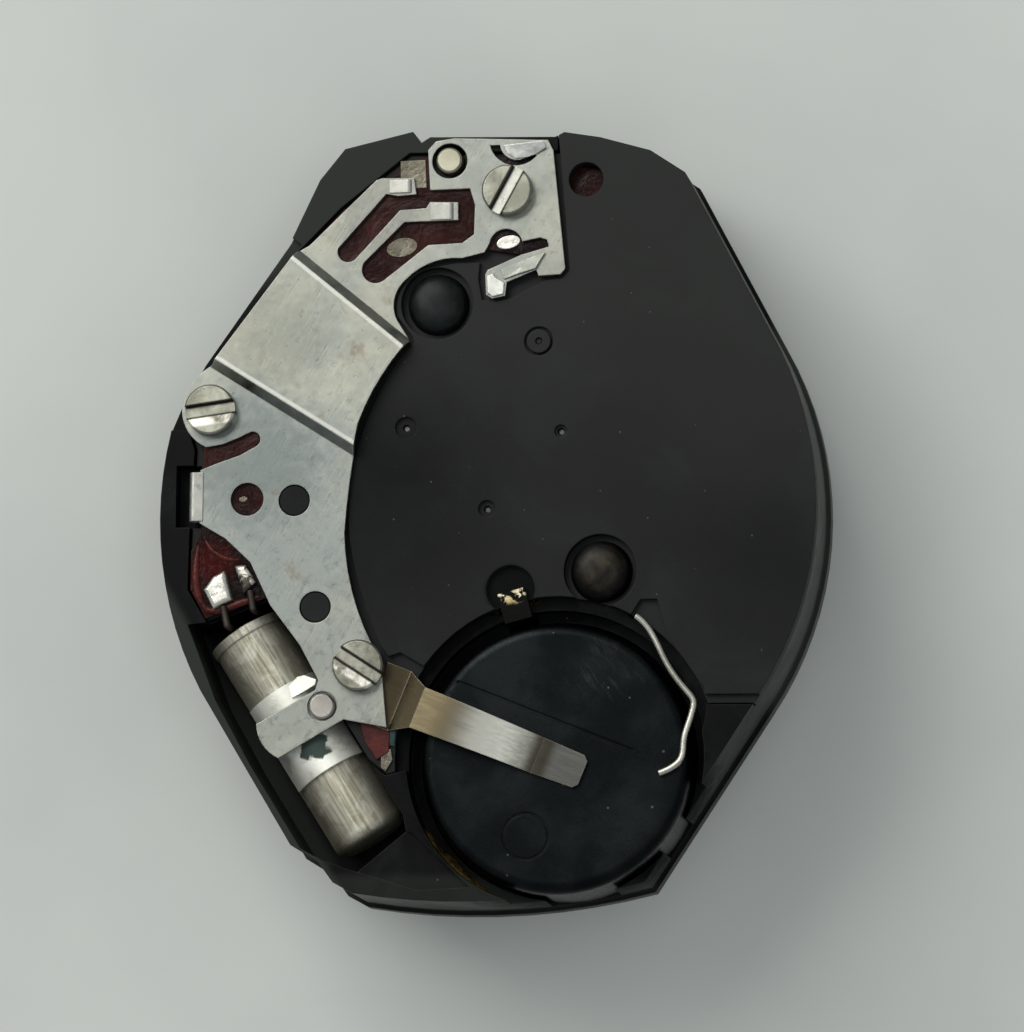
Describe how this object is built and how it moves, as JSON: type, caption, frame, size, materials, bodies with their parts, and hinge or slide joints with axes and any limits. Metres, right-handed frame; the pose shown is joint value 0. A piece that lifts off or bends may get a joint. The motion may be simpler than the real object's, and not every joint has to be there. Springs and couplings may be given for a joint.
{
  "type": "quartz watch movement",
  "caption": "Small analogue quartz watch movement with cell, crystal, step motor, gear train, hand posts and a setting lever.",
  "frame": {"origin": "on the dial seat, on the axis of the hand posts", "axes": "+Z from the dial seat towards the battery side, +Y towards the stem, +X to the right seen from the battery side"},
  "size_m": [0.0168, 0.0198, 0.0054],
  "materials": {
    "black_plastic": "satin moulded",
    "nickel_sheet": "nickel plated spring sheet",
    "steel": "polished",
    "nickel_can": "satin drawn can",
    "cell_steel": "satin",
    "brass": "turned",
    "copper_wire": "enamelled winding",
    "soft_iron": "annealed sheet",
    "magnet": "sintered",
    "board": "lacquered laminate",
    "resin": "sealing resin",
    "white_plastic": "moulded",
    "solder": "tin",
    "gilt": "gilt strip"
  },
  "bodies": {
    "base": {"main_plate": "black_plastic", "train_bridge": "black_plastic", "rotor_bearing": "black_plastic", "circuit_board": "board", "ic_chip": "resin", "coil_terminal_board": "board", "contact_plate": "nickel_sheet", "plate_screw_upper": "steel", "plate_screw_left": "steel", "plate_screw_lower": "steel", "clip_rivet": "steel", "crystal_can": "nickel_can", "crystal_header": "nickel_can", "crystal_lead_outer": "steel", "crystal_lead_inner": "steel", "crystal_clip": "nickel_sheet", "solder_pad_outer": "solder", "solder_pad_inner": "solder", "cell_can": "cell_steel", "cell_gasket": "white_plastic", "cell_cap": "cell_steel", "battery_strap": "nickel_sheet", "side_spring": "steel", "negative_contact": "gilt", "stator": "soft_iron", "coil_core": "soft_iron", "coil_winding": "copper_wire", "coil_cheek_upper": "white_plastic", "coil_cheek_lower": "white_plastic", "motor_screw_upper": "steel", "motor_screw_lower": "steel", "minute_post": "steel", "setting_post": "steel", "yoke_post": "steel", "motion_cover": "nickel_sheet", "cover_screw_left": "steel", "cover_screw_right": "steel"},
    "rotor": {"rotor_magnet": "magnet", "rotor_arbor": "white_plastic"},
    "intermediate": {"intermediate_wheel": "brass", "intermediate_pinion": "steel"},
    "seconds": {"seconds_wheel": "brass", "seconds_arbor": "steel"},
    "third": {"third_wheel": "brass", "third_pinion": "steel"},
    "centre": {"centre_wheel": "brass", "cannon_pinion": "steel"},
    "minute": {"minute_wheel": "brass"},
    "hour": {"hour_wheel": "brass"},
    "setting": {"setting_wheel": "steel"},
    "slider": {"sliding_pinion": "steel"},
    "lever": {"setting_lever": "steel"},
    "rocker": {"yoke": "steel"}
  },
  "joints": [
    {"name": "seconds_spin", "type": "hinge", "parent": "base", "child": "seconds", "pos_m": [0, 0, 0], "axis": [0, 0, 1], "continuous": true},
    {"name": "rotor_spin", "type": "hinge", "parent": "base", "child": "rotor", "pos_m": [0.00127, 0.00424, 0], "axis": [0, 0, 1], "continuous": true},
    {"name": "intermediate_spin", "type": "hinge", "parent": "base", "child": "intermediate", "pos_m": [0.00185, 0.00195, 0], "axis": [0, 0, 1], "continuous": true},
    {"name": "third_spin", "type": "hinge", "parent": "base", "child": "third", "pos_m": [-0.00208, 0.00208, 0], "axis": [0, 0, 1], "continuous": true},
    {"name": "centre_spin", "type": "hinge", "parent": "base", "child": "centre", "pos_m": [0, 0, 0], "axis": [0, 0, 1], "continuous": true},
    {"name": "minute_spin", "type": "hinge", "parent": "base", "child": "minute", "pos_m": [0, 0.002, 0], "axis": [0, 0, 1], "continuous": true},
    {"name": "hour_spin", "type": "hinge", "parent": "base", "child": "hour", "pos_m": [0, 0, 0], "axis": [0, 0, 1], "continuous": true},
    {"name": "setting_spin", "type": "hinge", "parent": "base", "child": "setting", "pos_m": [0, 0.00433, 0], "axis": [0, 0, 1], "continuous": true},
    {"name": "lever_turn", "type": "hinge", "parent": "base", "child": "lever", "pos_m": [-0.00102, 0.00886, 0], "axis": [0, 0, 1], "range_deg": [0, 16.85]},
    {"name": "yoke_turn", "type": "hinge", "parent": "base", "child": "rocker", "pos_m": [-0.0027, 0.00635, 0], "axis": [0, 0, 1], "range_deg": [-8.2, 0]},
    {"name": "slider_slide", "type": "slide", "parent": "base", "child": "slider", "axis": [0, 1, 0], "range_m": [-0.00032, 0]}
  ],
  "couplings": [
    {"joint": "intermediate_spin", "follows": "seconds_spin", "ratio": -5},
    {"joint": "rotor_spin", "follows": "seconds_spin", "ratio": 30},
    {"joint": "third_spin", "follows": "seconds_spin", "ratio": -0.083333},
    {"joint": "centre_spin", "follows": "seconds_spin", "ratio": 0.016667},
    {"joint": "minute_spin", "follows": "seconds_spin", "ratio": -0.0055556},
    {"joint": "hour_spin", "follows": "seconds_spin", "ratio": 0.0013889},
    {"joint": "setting_spin", "follows": "seconds_spin", "ratio": 0.01},
    {"joint": "lever_turn", "follows": "slider_slide", "rad_per_m": -918.93},
    {"joint": "yoke_turn", "follows": "slider_slide", "rad_per_m": 447.2}
  ]
}
